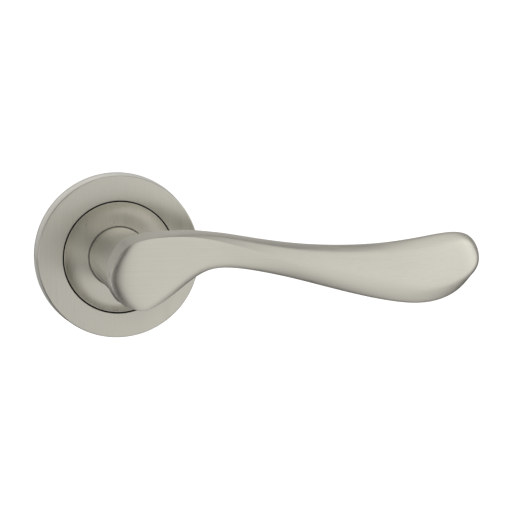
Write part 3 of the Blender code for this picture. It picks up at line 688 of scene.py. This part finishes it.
def dress_nodes(plated):
    zinc = plain_metal("die_cast_zinc", (0.46, 0.47, 0.48), 0.48, 1800.0, 0.03 * MM)
    sprung = plain_metal("dark_spring_steel", (0.22, 0.22, 0.235), 0.38, 1500.0, 0.006 * MM)
    finishes = {
        "mounting_plate": zinc,
        "bearing_bush": nylon(),
        **{name: plated for name in ("spindle", "cassette_rotor", "cassette_cover")},
        **{name: sprung for name in ("grub_screw", "circlip", "wave_washer", "return_spring")},
        **{f"ring_clip_{number}": sprung for number in range(1, 5)},
    }
    for name, finish in finishes.items():
        obj = nodes[name]
        if obj.material_slots:
            for slot in obj.material_slots:
                slot.material = finish
        else:
            obj.data.materials.append(finish)


# ---- studio ----

FLOOR_HEIGHT = -0.16
FLOOR_SIZE = 24.0


def make_floor():
    bm = bmesh.new()
    bmesh.ops.create_grid(bm, x_segments=1, y_segments=1, size=FLOOR_SIZE / 2)
    bmesh.ops.translate(bm, vec=(0, 0, FLOOR_HEIGHT), verts=bm.verts)
    material = bpy.data.materials.new("studio_floor")
    material.use_nodes = True
    shader = material.node_tree.nodes["Principled BSDF"]
    shader.inputs["Base Color"].default_value = (0.88, 0.88, 0.88, 1.0)
    shader.inputs["Roughness"].default_value = 0.9
    shader.inputs["Emission Color"].default_value = (1.0, 1.0, 1.0, 1.0)
    shader.inputs["Emission Strength"].default_value = 0.75
    floor = new_object("studio_floor", mesh_from(bm, "studio_floor"), material)
    floor.visible_glossy = False


PANEL_HALF_ANGLE = 50
# a soft tent: degrees to the right of straight ahead, degrees up, brightness
PANELS = (
    (0, 80, 0.6),  # overhead softbox, for the upper sides
    (15, 45, 0.6),  # high front panel, for the blade's upper face
    (15, -10, 0.7),  # front panel, which the flat faces mirror
    (45, -45, 0.4),  # low right panel, for the blade's underside
    (75, 10, 0.4),  # right panel, for the lever's tip
    (-80, 5, 0.4),  # left panel, for the neck and the heel's rim
    (150, 10, 0.6),  # behind on the right, for the rims
    (-150, 10, 0.6),  # behind on the left
    (0, -80, 0.4),  # light bounced up from the floor
)


def panel_glow(n, direction, right, up, brightness):
    """A soft round patch of light in the sky round one direction."""
    toward = (
        sin(radians(right)) * cos(radians(up)), -cos(radians(right)) * cos(radians(up)), sin(radians(up))
    )
    dot = n.tree.nodes.new("ShaderNodeVectorMath")
    dot.operation = "DOT_PRODUCT"
    n.put(dot.inputs[0], direction)
    dot.inputs[1].default_value = toward
    edge = n.add("ShaderNodeMapRange", {"interpolation_type": "SMOOTHSTEP"}, Value=dot.outputs["Value"])
    edge.inputs["From Min"].default_value = cos(radians(PANEL_HALF_ANGLE))
    edge.inputs["From Max"].default_value = 1.0
    edge.inputs["To Min"].default_value = 0.0
    edge.inputs["To Max"].default_value = brightness
    return edge.outputs["Result"]


def make_world():
    world = bpy.data.worlds.new("studio")
    bpy.context.scene.world = world
    world.use_nodes = True
    n = Nodes(world.node_tree)
    background = world.node_tree.nodes["Background"]
    direction = n.add("ShaderNodeTexCoord").outputs["Generated"]
    light = 0.0
    for right, up, brightness in PANELS:
        light = n.math("ADD", light, panel_glow(n, direction, right, up, brightness))
    background.inputs["Color"].default_value = (1.0, 0.995, 0.985, 1.0)
    n.put(background.inputs["Strength"], light)


CARD_SIZE = 0.2
# small softboxes close to the handle: name, place, what it faces, watts
CARDS = (
    ("left_card", (-0.25, -0.20, -0.05), (0.00, -0.02, 0.0), 0.1),
    ("right_card", (0.30, -0.20, 0.10), (0.09, -0.05, 0.0), 0.1),
)


def make_cards():
    for name, place, target, watts in CARDS:
        data = bpy.data.lights.new(name, "AREA")
        data.size = CARD_SIZE
        data.energy = watts
        card = bpy.data.objects.new(name, data)
        card.location = place
        card.rotation_euler = (Vector(place) - Vector(target)).to_track_quat("Z", "Y").to_euler()
        bpy.context.scene.collection.objects.link(card)


make_camera()
make_lever()
# near-black painted shade that makes the gap between ring and dish read black
gap_shade_paint = plain_metal("painted_gap_shade", (0.05, 0.045, 0.04), 0.6, 1500.0, 0.006 * MM)
make_rose_ring(gap_shade_paint)
make_rose_dish(gap_shade_paint)
plated = plain_metal("bright_zinc_plate", (0.66, 0.67, 0.68), 0.30, 1200.0, 0.006 * MM)
for side in (-1, 1):
    make_bolt(side, plated)
    make_wood_screw(side, plated)
dress_nodes(plated)
make_floor()
make_world()
make_cards()
bpy.context.scene.view_settings.view_transform = "Standard"
